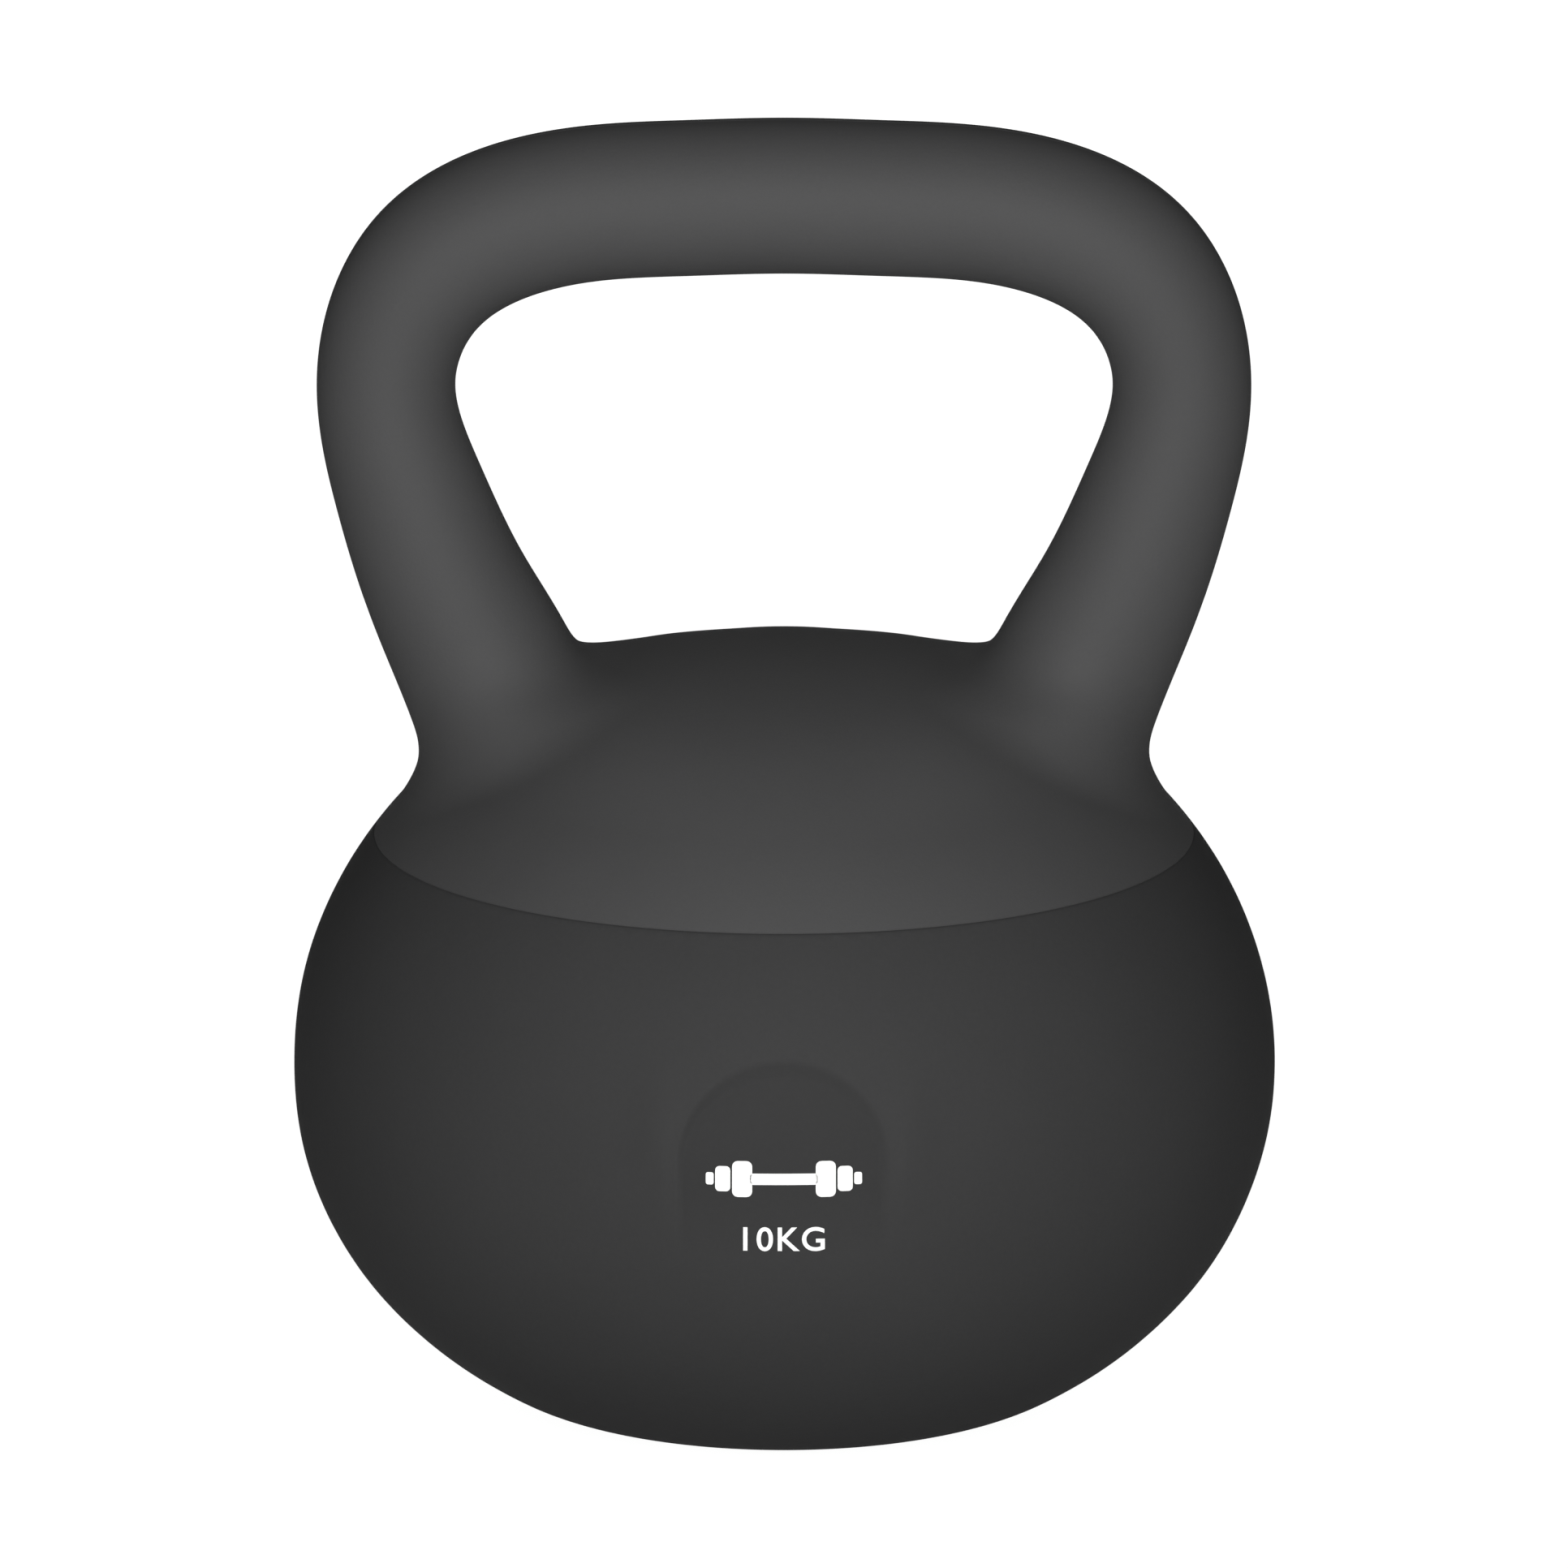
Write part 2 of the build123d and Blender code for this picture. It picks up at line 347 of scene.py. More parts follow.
def makeBarTree():
    # a round bar along a curve, as thick as the curve's radius
    tree = bpy.data.node_groups.new("roundBarAlongCurve", "GeometryNodeTree")
    face = tree.interface
    face.new_socket("Geometry", in_out="INPUT", socket_type="NodeSocketGeometry")
    sides = face.new_socket("Sides", in_out="INPUT", socket_type="NodeSocketInt")
    sides.default_value = 16
    caps = face.new_socket("Closed Ends", in_out="INPUT", socket_type="NodeSocketBool")
    caps.default_value = True
    face.new_socket("Material", in_out="INPUT", socket_type="NodeSocketMaterial")
    face.new_socket("Geometry", in_out="OUTPUT", socket_type="NodeSocketGeometry")
    add, link = tree.nodes.new, tree.links.new
    given, result = add("NodeGroupInput"), add("NodeGroupOutput")
    ring = add("GeometryNodeCurvePrimitiveCircle")
    ring.inputs["Radius"].default_value = 1.0
    sweep = add("GeometryNodeCurveToMesh")
    realize, paint = add("GeometryNodeRealizeInstances"), add("GeometryNodeSetMaterial")
    link(given.outputs["Sides"], ring.inputs["Resolution"])
    link(given.outputs["Geometry"], sweep.inputs["Curve"])
    link(ring.outputs["Curve"], sweep.inputs["Profile Curve"])
    link(add("GeometryNodeInputRadius").outputs["Radius"], sweep.inputs["Scale"])
    link(given.outputs["Closed Ends"], sweep.inputs["Fill Caps"])
    link(sweep.outputs["Mesh"], realize.inputs["Geometry"])
    link(realize.outputs["Geometry"], paint.inputs["Geometry"])
    link(given.outputs["Material"], paint.inputs["Material"])
    link(paint.outputs["Geometry"], result.inputs["Geometry"])
    return tree


barTree = makeBarTree()


def setTreeInput(modifier, name, value):
    for item in modifier.node_group.interface.items_tree:
        if item.in_out == "INPUT" and item.name == name:
            modifier[item.identifier] = value


def barAlong(name, points, radii, sides, material):
    curve = bpy.data.curves.new(name + "Line", "CURVE")
    curve.dimensions = "3D"
    line = curve.splines.new("POLY")
    line.points.add(len(points) - 1)
    for point, place, radius in zip(line.points, points, radii):
        point.co = (*place, 1)
        point.radius = radius
    guide = newObject(name + "Line", curve)
    build = guide.modifiers.new("bar", "NODES")
    build.node_group = barTree
    setTreeInput(build, "Sides", sides)
    setTreeInput(build, "Closed Ends", True)
    setTreeInput(build, "Material", material)
    mesh = frozen(guide, name)
    dropObject(guide)
    return mesh


grainLook = {
    "grainShare": 0.6,
    "poreShare": 0.4,
    "poreScale": 0.8,  # pores against grain
    "rubScale": 220.0,
    "rubStart": 0.62,  # how much of the surface stays free of rubbed marks
    "rubContrast": 8.0,
    "grainShade": 0.12,
}


def makeGrainGroup():
    # a moulded skin: fine grain, slow mottling and faint rubbed marks
    group = bpy.data.node_groups.new("mouldedGrain", "ShaderNodeTree")
    face = group.interface
    for name, kind, value in [
        ("Grain Size", "NodeSocketFloat", 0.0006),
        ("Mottle Size", "NodeSocketFloat", 0.05),
        ("Mottle", "NodeSocketFloat", 0.1),
        ("Roughness", "NodeSocketFloat", 0.6),
        ("Roughness Spread", "NodeSocketFloat", 0.1),
        ("Rub", "NodeSocketFloat", 0.05),
    ]:
        socket = face.new_socket(name, in_out="INPUT", socket_type=kind)
        socket.default_value = value
    base = face.new_socket("Color", in_out="INPUT", socket_type="NodeSocketColor")
    base.default_value = (0.05, 0.05, 0.05, 1)
    face.new_socket("Color", in_out="OUTPUT", socket_type="NodeSocketColor")
    face.new_socket("Roughness", in_out="OUTPUT", socket_type="NodeSocketFloat")
    face.new_socket("Height", in_out="OUTPUT", socket_type="NodeSocketFloat")
    add, link = group.nodes.new, group.links.new
    given, result = add("NodeGroupInput"), add("NodeGroupOutput")
    place = add("ShaderNodeTexCoord").outputs["Object"]

    def math2(kind, first, second, clamp=False):
        node = add("ShaderNodeMath")
        node.operation = kind
        node.use_clamp = clamp
        for socket, value in zip(node.inputs, (first, second)):
            if isinstance(value, (int, float)):
                socket.default_value = value
            else:
                link(value, socket)
        return node.outputs[0]

    grainScale = math2("DIVIDE", 1.0, given.outputs["Grain Size"])
    grain = add("ShaderNodeTexNoise")
    grain.inputs["Detail"].default_value = 3.0
    link(place, grain.inputs["Vector"])
    link(grainScale, grain.inputs["Scale"])
    pores = add("ShaderNodeTexVoronoi")
    pores.feature = "SMOOTH_F1"
    link(place, pores.inputs["Vector"])
    link(math2("MULTIPLY", grainScale, grainLook["poreScale"]), pores.inputs["Scale"])
    grainHeight = math2("MULTIPLY", grain.outputs["Fac"], grainLook["grainShare"])
    height = math2("ADD", grainHeight, math2("MULTIPLY", pores.outputs["Distance"], grainLook["poreShare"]))
    slow = add("ShaderNodeTexNoise")
    slow.inputs["Detail"].default_value = 4.0
    slow.inputs["Roughness"].default_value = 0.6
    link(place, slow.inputs["Vector"])
    link(math2("DIVIDE", 1.0, given.outputs["Mottle Size"]), slow.inputs["Scale"])
    drift = math2("SUBTRACT", slow.outputs["Fac"], 0.5)
    rubs = add("ShaderNodeTexNoise")
    rubs.inputs["Scale"].default_value = grainLook["rubScale"]
    rubs.inputs["Detail"].default_value = 6.0
    rubs.inputs["Roughness"].default_value = 0.75
    link(place, rubs.inputs["Vector"])
    rubbed = math2("SUBTRACT", rubs.outputs["Fac"], grainLook["rubStart"])
    rubbed = math2("MULTIPLY", rubbed, grainLook["rubContrast"], True)
    rubbed = math2("MULTIPLY", rubbed, given.outputs["Rub"])
    level = math2("ADD", 1.0, math2("MULTIPLY", drift, given.outputs["Mottle"]))
    level = math2("ADD", level, rubbed)
    fine = math2("SUBTRACT", grain.outputs["Fac"], 0.5)
    level = math2("ADD", level, math2("MULTIPLY", fine, grainLook["grainShade"]))
    scaled = add("ShaderNodeVectorMath")
    scaled.operation = "SCALE"
    link(given.outputs["Color"], scaled.inputs[0])
    link(level, scaled.inputs["Scale"])
    spread = math2("MULTIPLY", drift, given.outputs["Roughness Spread"])
    rough = math2("ADD", given.outputs["Roughness"], spread)
    rough = math2("SUBTRACT", rough, rubbed, True)
    link(scaled.outputs[0], result.inputs["Color"])
    link(rough, result.inputs["Roughness"])
    link(height, result.inputs["Height"])
    return group


grainGroup = makeGrainGroup()


def newMaterial(name):
    material = bpy.data.materials.new(name)
    material.use_nodes = True
    shader = next(n for n in material.node_tree.nodes if n.type == "BSDF_PRINCIPLED")
    return material, material.node_tree.nodes.new, material.node_tree.links.new, shader


def mouldedMaterial(name, look, paintedShadeMask=None):
    material, add, link, shader = newMaterial(name)
    grain = add("ShaderNodeGroup")
    grain.node_tree = grainGroup
    grain.inputs["Color"].default_value = (*look["color"], 1)
    grain.inputs["Grain Size"].default_value = look["grainSize"]
    grain.inputs["Mottle Size"].default_value = look["mottleSize"]
    grain.inputs["Mottle"].default_value = look["mottle"]
    grain.inputs["Roughness"].default_value = look["roughness"]
    grain.inputs["Roughness Spread"].default_value = look["spread"]
    grain.inputs["Rub"].default_value = look["rub"]
    bump = add("ShaderNodeBump")
    bump.inputs["Strength"].default_value = look["bump"]
    bump.inputs["Distance"].default_value = look["bumpDepth"]
    link(grain.outputs["Height"], bump.inputs["Height"])
    color = grain.outputs["Color"]
    if paintedShadeMask:
        # painted shade: the recess floor's colour is darkened by a mask, as if shade falls in the recess
        mask, shade = add("ShaderNodeAttribute"), add("ShaderNodeMix")
        mask.attribute_name = paintedShadeMask
        shade.data_type = "RGBA"
        shade.blend_type = "MULTIPLY"
        factor, first, second = (shade.inputs[i] for i in (0, 6, 7))
        second.default_value = (*look["paintedShadeTint"], 1)
        link(mask.outputs["Fac"], factor)
        link(color, first)
        color = shade.outputs[2]
    link(color, shader.inputs["Base Color"])
    link(grain.outputs["Roughness"], shader.inputs["Roughness"])
    link(bump.outputs["Normal"], shader.inputs["Normal"])
    shader.inputs["Specular IOR Level"].default_value = look["gloss"]
    shader.inputs["Metallic"].default_value = look.get("metal", 0.0)
    return material


handlePlasticLook = {
    "color": (0.043, 0.043, 0.0434), "grainSize": 0.55 * mm, "mottleSize": 30 * mm, "mottle": 0.10,
    "roughness": 0.74, "spread": 0.08, "rub": 0.04, "bump": 0.35, "bumpDepth": 0.10 * mm, "gloss": 0.30,
}
softSkinLook = {
    "color": (0.032, 0.032, 0.0323), "grainSize": 0.9 * mm, "mottleSize": 45 * mm, "mottle": 0.14,
    # painted shade: the colour that the recess floor is multiplied by, to darken it as if in shade
    "paintedShadeTint": (0.86, 0.86, 0.86),
    "roughness": 0.68, "spread": 0.12, "rub": 0.05, "bump": 0.30, "bumpDepth": 0.10 * mm, "gloss": 0.06,
}
printLook = {
    "color": (0.80, 0.80, 0.79), "grainSize": 0.35 * mm, "mottleSize": 6 * mm, "mottle": 0.10,
    "roughness": 0.55, "spread": 0.15, "rub": 0.05, "bump": 0.2, "bumpDepth": 0.03 * mm, "gloss": 0.3,
}
bungLook = {
    "color": (0.018, 0.018, 0.019), "grainSize": 0.5 * mm, "mottleSize": 12 * mm, "mottle": 0.2,
    "roughness": 0.55, "spread": 0.2, "rub": 0.15, "bump": 0.3, "bumpDepth": 0.08 * mm, "gloss": 0.4,
}
sealLook = dict(bungLook, color=(0.010, 0.010, 0.010), roughness=0.7)
ringPlasticLook = dict(bungLook, color=(0.02, 0.02, 0.021), roughness=0.45, grainSize=0.4 * mm)
steelLook = {
    "color": (0.42, 0.42, 0.43), "grainSize": 0.4 * mm, "mottleSize": 9 * mm, "mottle": 0.35,
    "roughness": 0.38, "spread": 0.25, "rub": 0.2, "bump": 0.25, "bumpDepth": 0.03 * mm, "gloss": 0.5,
    "metal": 1.0,
}
zincLook = dict(steelLook, color=(0.60, 0.62, 0.64), roughness=0.30, mottleSize=4 * mm)
foamLook = {
    "color": (0.62, 0.59, 0.50), "grainSize": 1.4 * mm, "mottleSize": 14 * mm, "mottle": 0.25,
    "roughness": 0.95, "spread": 0.05, "rub": 0.0, "bump": 1.0, "bumpDepth": 0.8 * mm, "gloss": 0.1,
}
sandLook = {
    "color": (0.045, 0.042, 0.040), "grainSize": 0.5 * mm, "mottleSize": 7 * mm, "mottle": 0.4,
    "roughness": 0.75, "spread": 0.3, "rub": 0.5, "bump": 1.0, "bumpDepth": 0.4 * mm, "gloss": 0.5,
}

handlePlastic = mouldedMaterial("handlePlastic", handlePlasticLook)
# the skin's recess gets painted shade from the mask named here
softSkinVinyl = mouldedMaterial("softSkinVinyl", softSkinLook, "paintedRecessShade")
whitePrint = mouldedMaterial("whitePrint", printLook)

innerLooks = {
    "handle_core": ("coreSteel", steelLook),
    "anchor_plate": ("plateZinc", zincLook),
    "core_washers": ("washerZinc", zincLook),
    "core_nuts": ("nutZinc", zincLook),
    "joint_ring": ("ringPlastic", ringPlasticLook),
    "packing_foam": ("foamCells", foamLook),
    "iron_sand": ("sandGrains", sandLook),
    "fill_plug": ("bungVinyl", bungLook),
    "plug_washer": ("sealVinyl", sealLook),
}
for nodeName, (materialName, look) in innerLooks.items():
    for carrier in frame["nodes"][nodeName].material_slots:
        carrier.material = mouldedMaterial(materialName, look)
print("materials made")


upperLook = {
    "cell": 1.15 * mm,  # the size of the mesh's quads
    "rimEase": 0.3 * mm,
    "wall": 4.0 * mm,
    "mouthRadius": 76.0 * mm,
    "rimWall": 5.0 * mm,
    "barSides": 64,
    "crownSides": 240,
    "crownSteps": 60,
    "skirt": 6.0 * mm,  # how far the block reaches under the joint line before it is cut
    "fixed": 3.0 * mm,  # points lower than this under the joint line stay put
    "rounds": 6,
    "innerSteps": 25,
    "sharpDegrees": 28,
    "mergeGap": 0.15 * mm,
}


def lathe(outline, sides, start=0.0):
    # rings round the upright axis through (radius, height) points; the ends close where the radius is 0
    points, rings = [], []
    for radius, height in outline:
        if radius < 1e-7:
            rings.append([len(points)])
            points.append((0, 0, height))
            continue
        rings.append(list(range(len(points), len(points) + sides)))
        for i in range(sides):
            turn = start + 2 * math.pi * i / sides
            points.append((radius * math.cos(turn), radius * math.sin(turn), height))
    faces = []
    for low, high in zip(rings[:-1], rings[1:]):
        for i in range(sides):
            j = (i + 1) % sides
            if len(low) == 1:
                faces.append((low[0], high[j], high[i]))
            elif len(high) == 1:
                faces.append((low[i], low[j], high[0]))
            else:
                faces.append((low[i], low[j], high[j], high[i]))
    return points, faces


def ballRadiusAt(height, inset=0.0):
    s = ballShape
    up = height - s["equatorHeight"]
    power, tall = (2.0, s["crownRise"]) if up > 0 else (s["bellyPower"], s["bellyDrop"])
    return (ballRadius - inset) * max(0.0, 1 - (abs(up) / (tall - inset)) ** power) ** (1 / power)


def borderLoops(form):
    # the open edges of a bmesh as closed runs of vertices
    open_ = {e for e in form.edges if e.is_boundary}
    runs = []
    while open_:
        edge = open_.pop()
        run = [edge.verts[0], edge.verts[1]]
        while True:
            onward = next((e for e in run[-1].link_edges if e in open_), None)
            if onward is None:
                break
            open_.remove(onward)
            run.append(onward.other_vert(run[-1]))
        runs.append(run[:-1] if run[-1] is run[0] else run)
    return runs


def ringsInward(form, border, steps):
    # closes an opening with rings: each step gives a radius and height for every point of the border
    for radius, height in steps:
        fresh = []
        for vert in border:
            turn = math.atan2(vert.co.y, vert.co.x)
            place = (radius * math.cos(turn), radius * math.sin(turn), height)
            fresh.append(form.verts.new(place))
        count = len(border)
        for i in range(count):
            j = (i + 1) % count
            form.faces.new((border[i], border[j], fresh[j], fresh[i]))
        border = fresh
    return border


def cutAtJoint(mesh, height, side, mergeGap):
    # cuts away what lies past a height, on the side given, and leaves a round border there
    form = bmesh.new()
    form.from_mesh(mesh)
    everything = form.verts[:] + form.edges[:] + form.faces[:]
    bmesh.ops.bisect_plane(
        form, geom=everything, plane_co=(0, 0, height), plane_no=(0, 0, side), clear_outer=True
    )
    bmesh.ops.remove_doubles(form, verts=[v for v in form.verts if v.is_boundary], dist=mergeGap)
    border = max(borderLoops(form), key=len)
    radius = ballRadiusAt(height)
    for vert in border:
        turn = math.atan2(vert.co.y, vert.co.x)
        vert.co = (radius * math.cos(turn), radius * math.sin(turn), height)
    return form, border


def closeInside(form, mesh, border, steps, middleHeight):
    # rings from the border inward, closed at one point, and back into the mesh
    last = ringsInward(form, border, steps)
    middle = form.verts.new((0, 0, middleHeight))
    for i in range(len(last)):
        form.faces.new((last[i], last[(i + 1) % len(last)], middle))
    bmesh.ops.recalc_face_normals(form, faces=form.faces[:])
    form.to_mesh(mesh)
    form.free()


def makeUpper():
    look = upperLook
    fullLine = np.concatenate([lineHalf[:0:-1] * (-1, 1), lineHalf])
    radii = np.concatenate([radiusHalf[:0:-1], radiusHalf])
    places = [(x, 0, z) for x, z in fullLine]
    bar = barAlong("handleBar", places, radii, look["barSides"], handlePlastic)
    s = ballShape
    turns = [math.radians(90 * i / look["crownSteps"]) for i in range(look["crownSteps"] + 1)]
    low = seamHeight - look["skirt"]
    outline = [(0, low)] + [
        (ballRadiusAt(h), h)
        for h in [low + (s["equatorHeight"] + s["crownRise"] - low) * math.sin(t) for t in turns]
    ]
    outline[-1] = (0, s["equatorHeight"] + s["crownRise"])
    crown = meshFrom("crown", *lathe(outline, look["crownSides"]))
    both = bmesh.new()
    both.from_mesh(bar)
    both.from_mesh(crown)
    joined = bpy.data.meshes.new("joined")
    both.to_mesh(joined)
    both.free()
    block = newObject("upperBlock", joined)
    remesh = block.modifiers.new("voxels", "REMESH")
    remesh.mode = "VOXEL"
    remesh.voxel_size = look["cell"]
    skin = frozen(block, "handleShoulder")
    dropObject(block)
    for spare in (bar, crown):
        bpy.data.meshes.remove(spare)

    points = readPoints(skin)
    body = points[:, 2] > seamHeight - look["fixed"]
    points[body] = settle(points[body], upperField, 4)
    for _ in range(look["rounds"]):
        points = relaxed(skin, points, 4, 0.5, keep=~body)
        points[body] = settle(points[body], upperField, 2)
    writePoints(skin, points)

    form, border = cutAtJoint(skin, seamHeight + look["rimEase"], -1, look["mergeGap"])
    edge = ballRadiusAt(seamHeight) - look["rimEase"]
    rimTop = seamHeight + look["rimWall"]
    inner = s["crownRise"] - look["wall"]
    start = math.asin((rimTop - s["equatorHeight"]) / inner)
    steps = [(edge, seamHeight), (look["mouthRadius"], seamHeight), (look["mouthRadius"], rimTop)]
    for i in range(look["innerSteps"]):
        turn = start + (math.pi / 2 - start) * i / look["innerSteps"]
        height = s["equatorHeight"] + inner * math.sin(turn)
        steps.append((ballRadiusAt(height, look["wall"]), height))
    closeInside(form, skin, border, steps, s["equatorHeight"] + inner)
    inFixedOrder(skin)
    smoothShade(skin, look["sharpDegrees"])
    thing = newObject("handleShoulder", skin)
    skin.materials.clear()
    skin.materials.append(handlePlastic)
    return thing


upperPiece = makeUpper()
finishPiece(upperPiece, ["handle_and_shoulder"])
print("handle and shoulder:", len(upperPiece.data.polygons), "faces")


# the thin raised line where the two halves of the handle's mould met

partingLine = {"radius": 0.22 * mm, "proud": 0.08 * mm, "sides": 8, "endHeight": 176 * mm}


def makePartingLine():
    look = partingLine
    step = np.gradient(lineHalf, axis=0)
    step /= np.linalg.norm(step, axis=1)[:, None]
    outward = np.stack([-step[:, 1], step[:, 0]], axis=1)
    form = bmesh.new()
    for side in (1, -1):
        reach = side * (radiusHalf - look["radius"] + look["proud"])
        half = lineHalf + outward * reach[:, None]
        half = half[half[:, 1] > look["endHeight"]]
        line = np.concatenate([half[:0:-1] * (-1, 1), half])
        radii = np.full(len(line), look["radius"])
        places = [(x, 0, z) for x, z in line]
        bead = barAlong("bead", places, radii, look["sides"], handlePlastic)
        form.from_mesh(bead)
        bpy.data.meshes.remove(bead)
    bmesh.ops.recalc_face_normals(form, faces=form.faces[:])
    mesh = bpy.data.meshes.new("handlePartingLine")
    form.to_mesh(mesh)
    form.free()
    mesh.shade_smooth()
    mesh.materials.clear()
    mesh.materials.append(handlePlastic)
    return newObject("handlePartingLine", mesh)


finishPiece(makePartingLine())
print("parting line made")


# the soft skin: its rings start at the middle of the recess and close at the back

skinLook = {
    "lip": 0.3 * mm,
    "wall": 4.0 * mm,
    "floor": 6.0 * mm,
    "neckRadius": 21.0 * mm,
    "neckHeight": 13.0 * mm,
    "portRadius": 15.0 * mm,
    "seatRadius": 20.15 * mm,
    "seatHeight": 4.8 * mm,
    "around": 384,
    "waves": 0.22 * mm,  # how uneven the filled skin is
    "waveSize": 52 * mm,
    "calmTop": (6 * mm, 25 * mm),  # no waves in the first of these, and they grow over the second
    "calmBase": (10 * mm, 20 * mm),
    "mergeGap": 0.2 * mm,
    "lipShare": 0.6,  # how far the rim steps in, as a share of the lip
    "innerSteps": 30,
    "portSides": 96,
    "spare": 10.0 * mm,  # how far the port's cutter passes the surfaces that it opens
    "sharpDegrees": 50,
    # painted shade in the recess: how fast the darkening reaches full strength with the recess's depth
    "paintedShadeContrast": 2.5,
}
recess = {
    "height": 77.5 * mm,
    "acrossRadius": 22.8 * mm,
    "upRadius": 24.0 * mm,
    "depth": 1.1 * mm,
    "depthPower": 0.9,
    "flushBelow": 20.0 * mm,  # the floor meets the skin this far below the recess's middle
    "wallLeft": 1.5 * mm,
    "wallRight": 2.5 * mm,
    "wallTop": 5.0 * mm,
    "bulge": 0.60 * mm,
    "bulgeOut": 26.5 * mm,
    "bulgeUp": 6.0 * mm,
    "bulgeWide": 5.0 * mm,
    "bulgeTall": 12.0 * mm,
    "bulgeEdge": 3.0 * mm,
}


def recessDepth(across, up):
    # how deep the recess is at a place in its own frame; the bulge beside it counts as negative
    r = recess
    top = np.maximum(up, 0)
    radius = np.hypot(across / r["acrossRadius"], top / r["upRadius"]) * r["acrossRadius"]
    share = np.clip((up + r["flushBelow"]) / (r["flushBelow"] + r["upRadius"]), 0, 1)
    deep = r["depth"] * share ** r["depthPower"]
    lean = 0.5 + 0.5 * across / np.maximum(np.hypot(across, up), 1e-6)
    wall = r["wallLeft"] + (r["wallRight"] - r["wallLeft"]) * lean
    crown = np.clip(top / np.maximum(np.hypot(across, up), 1e-6), 0, 1) ** 3
    wall = wall + (r["wallTop"] - wall) * crown
    inside = np.clip((r["acrossRadius"] - radius) / wall, 0, 1)
    inside = inside + (inside * inside * (3 - 2 * inside) - inside) * crown
    side = np.exp(-(((np.abs(across) - r["bulgeOut"]) / r["bulgeWide"]) ** 2))
    side = side * np.exp(-(((up - r["bulgeUp"]) / r["bulgeTall"]) ** 2))
    outside = eased(radius, r["acrossRadius"], r["acrossRadius"] + r["bulgeEdge"])
    return deep * inside - r["bulge"] * side * outside


def skinWaves(points):
    # gentle unevenness, the same on every run, gone near the seam and the base
    size = skinLook["waveSize"]
    x, y, z = (points / size * 2 * math.pi).T
    wave = np.sin(x * 0.9 + 1.3) * np.sin(z * 1.1 + 0.4) + np.sin(y * 0.8 + 2.1) * np.sin(x * 0.6 - z * 0.7)
    top, base = skinLook["calmTop"], skinLook["calmBase"]
    fade = np.clip((seamHeight - top[0] - points[:, 2]) / top[1], 0, 1)
    fade = fade * np.clip((points[:, 2] - base[0]) / base[1], 0, 1)
    return 0.5 * skinLook["waves"] * wave * fade


def onSkin(points, lift):
    # points taken to the skin's surface, with the recess pressed in, and then lifted off it
    points = settle(points, skinField, 8)
    out = skinField(points)[1]
    out = out / np.linalg.norm(out, axis=1)[:, None]
    front = points[:, 1] < 0
    deep = np.where(front, recessDepth(points[:, 0], points[:, 2] - recess["height"]), 0)
    return points + out * (skinWaves(points) - deep + lift)[:, None]


# in millimetres round the skin from the middle of the recess
ringShape = {
    "floorStep": 1.5,
    "floorEnd": 19.0,
    "wallStart": 19.4,
    "wallEnd": 31.0,
    "wallStep": 0.3,
    "growth": 1.08,
    "widestStep": 2.8,
    "end": 322.0,
}


def ringTurns():
    # how far round from the middle of the recess each ring of points is
    s = ringShape
    reach = list(np.arange(s["floorStep"], s["floorEnd"], s["floorStep"]))
    reach += list(np.arange(s["wallStart"], s["wallEnd"], s["wallStep"]))
    step = s["wallStep"]
    while reach[-1] < s["end"]:
        step = min(step * s["growth"], s["widestStep"])
        reach.append(reach[-1] + step)
    return np.array(reach) * mm / ballRadius


